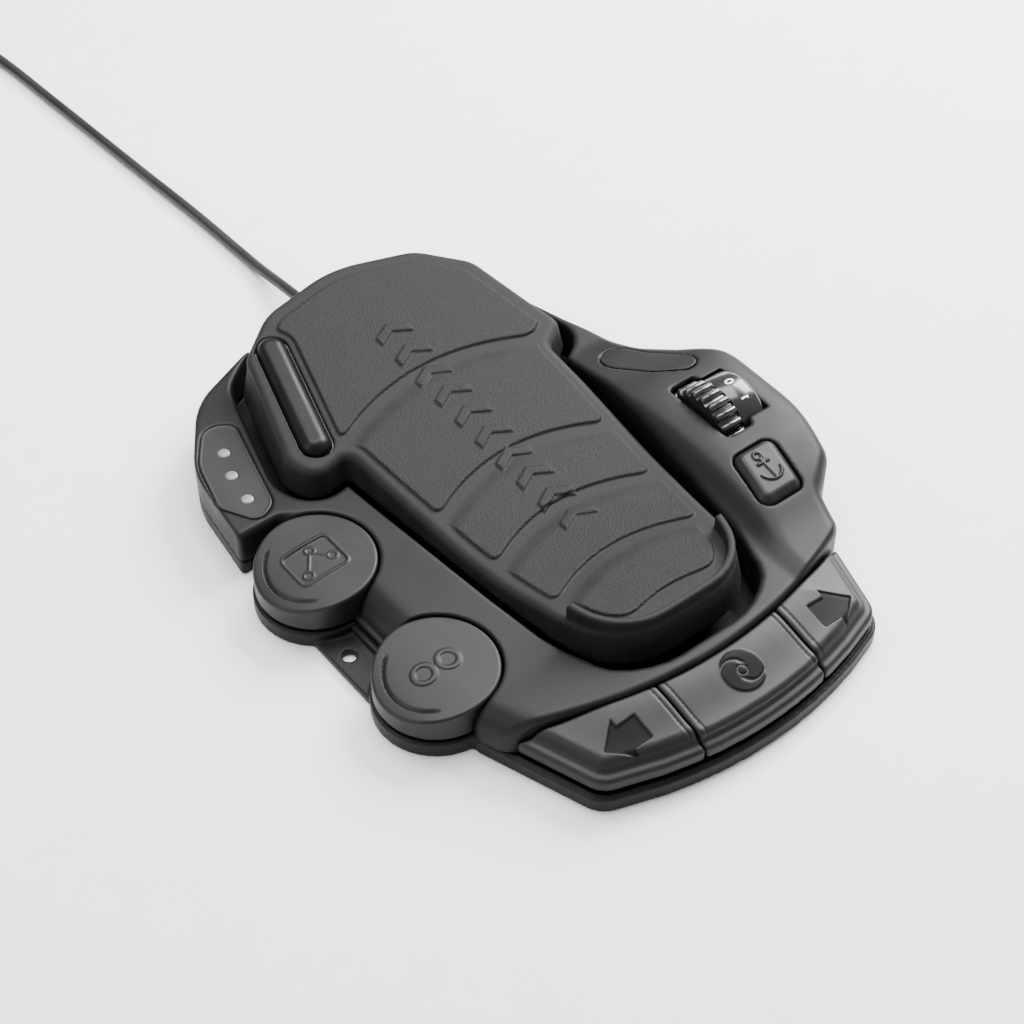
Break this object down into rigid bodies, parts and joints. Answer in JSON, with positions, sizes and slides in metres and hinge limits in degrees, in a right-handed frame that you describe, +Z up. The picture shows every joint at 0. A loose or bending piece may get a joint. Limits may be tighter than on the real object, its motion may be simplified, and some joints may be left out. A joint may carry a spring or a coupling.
{
  "type": "trolling motor foot pedal",
  "caption": "Wired foot control pedal for an electric outboard: rocking tread, heel buttons, round side buttons, speed wheel, status lights and a coiled cable.",
  "frame": {"origin": "on the base plate's flat underside, straight below the pedal's rocker axle", "axes": "+X to the right of the user's foot, +Y from heel to toe, +Z up"},
  "size_m": [0.2545, 0.752, 0.0479],
  "materials": {
    "case_plastic": "satin moulded, fine spark texture",
    "tread_rubber": "soft, stippled pads, slightly mottled",
    "frame_plastic": "plain moulded",
    "button_plastic": "satin",
    "momentary_plastic": "semi-gloss",
    "wheel_plastic": "polished",
    "led_overlay": "smooth film",
    "lens": "milky",
    "board": "solder mask",
    "switch": "plain moulded",
    "bush": "acetal",
    "axle_steel": "ground",
    "spring_steel": "drawn wire",
    "screw_steel": "plated",
    "foot_rubber": "plain",
    "cable_jacket": "smooth soft PVC jacket",
    "tie": "woven hook-and-loop strap",
    "plug_plastic": "satin"
  },
  "bodies": {
    "casing": {"base_plate": "case_plastic", "housing": "case_plastic", "rocker_axle": "axle_steel", "circuit_board": "board", "side_board": "board", "nav_switch": "switch", "con_switch": "switch", "left_switch": "switch", "prop_switch": "switch", "right_switch": "switch", "anchor_switch": "switch", "toe_switch": "switch", "heel_switch": "switch", "speed_sensor": "switch", "led_panel": "led_overlay", "led_upper": "lens", "led_middle": "lens", "led_lower": "lens", "blank_panel": "case_plastic", "toe_spring": "spring_steel", "heel_spring": "spring_steel", "nav_spring": "spring_steel", "con_spring": "spring_steel", "base_screw_1": "screw_steel", "base_screw_2": "screw_steel", "base_screw_3": "screw_steel", "base_screw_4": "screw_steel", "base_screw_5": "screw_steel", "base_screw_6": "screw_steel", "rubber_foot_1": "foot_rubber", "rubber_foot_2": "foot_rubber", "rubber_foot_3": "foot_rubber", "rubber_foot_4": "foot_rubber", "rubber_foot_5": "foot_rubber", "cable_gland": "cable_jacket", "cable": "cable_jacket", "cable_coil": "cable_jacket", "cable_tie": "tie", "cable_tail": "cable_jacket", "cable_plug": "plug_plastic"},
    "pedal": {"tread_cover": "tread_rubber", "pedal_frame": "frame_plastic", "axle_bush_left": "bush", "axle_bush_right": "bush", "momentary_switch": "switch"},
    "momentary": {"momentary_button": "momentary_plastic"},
    "nav": {"nav_button": "button_plastic"},
    "con": {"con_button": "button_plastic"},
    "left_pad": {"left_button": "button_plastic"},
    "prop_pad": {"prop_button": "button_plastic"},
    "right_pad": {"right_button": "button_plastic"},
    "anchor": {"anchor_button": "button_plastic"},
    "wheel": {"speed_wheel": "wheel_plastic", "speed_dial": "wheel_plastic", "wheel_axle": "axle_steel"}
  },
  "joints": [
    {"name": "pedal_rock", "type": "hinge", "parent": "casing", "child": "pedal", "pos_m": [0, 0, 0.014], "axis": [1, 0, 0], "range_deg": [-6, 6], "stiffness_Nm_per_rad": 14, "deforming": ["toe_spring", "heel_spring"]},
    {"name": "momentary_press", "type": "slide", "parent": "pedal", "child": "momentary", "axis": [0, 0, -1], "range_m": [0, 0.002], "stiffness_N_per_m": 1200},
    {"name": "nav_press", "type": "slide", "parent": "casing", "child": "nav", "axis": [0, 0, -1], "range_m": [0, 0.0016], "stiffness_N_per_m": 1500, "deforming": ["nav_spring"]},
    {"name": "con_press", "type": "slide", "parent": "casing", "child": "con", "axis": [0, 0, -1], "range_m": [0, 0.0016], "stiffness_N_per_m": 1500, "deforming": ["con_spring"]},
    {"name": "left_press", "type": "hinge", "parent": "casing", "child": "left_pad", "pos_m": [-0.062, -0.12639, 0.018], "axis": [0.9552, -0.2961, 0], "range_deg": [0, 3], "stiffness_Nm_per_rad": 2.5},
    {"name": "prop_press", "type": "hinge", "parent": "casing", "child": "prop_pad", "pos_m": [0, -0.136, 0.018], "axis": [1, 0, 0], "range_deg": [0, 3], "stiffness_Nm_per_rad": 2.5},
    {"name": "right_press", "type": "hinge", "parent": "casing", "child": "right_pad", "pos_m": [0.062, -0.12639, 0.018], "axis": [0.9552, 0.2961, 0], "range_deg": [0, 3], "stiffness_Nm_per_rad": 2.5},
    {"name": "anchor_press", "type": "slide", "parent": "casing", "child": "anchor", "axis": [0, 0, -1], "range_m": [0, 0.0015], "stiffness_N_per_m": 1500},
    {"name": "wheel_turn", "type": "hinge", "parent": "casing", "child": "wheel", "pos_m": [0.09, -0.032, 0.0252], "axis": [-1, 0, 0], "range_deg": [0, 300]}
  ]
}
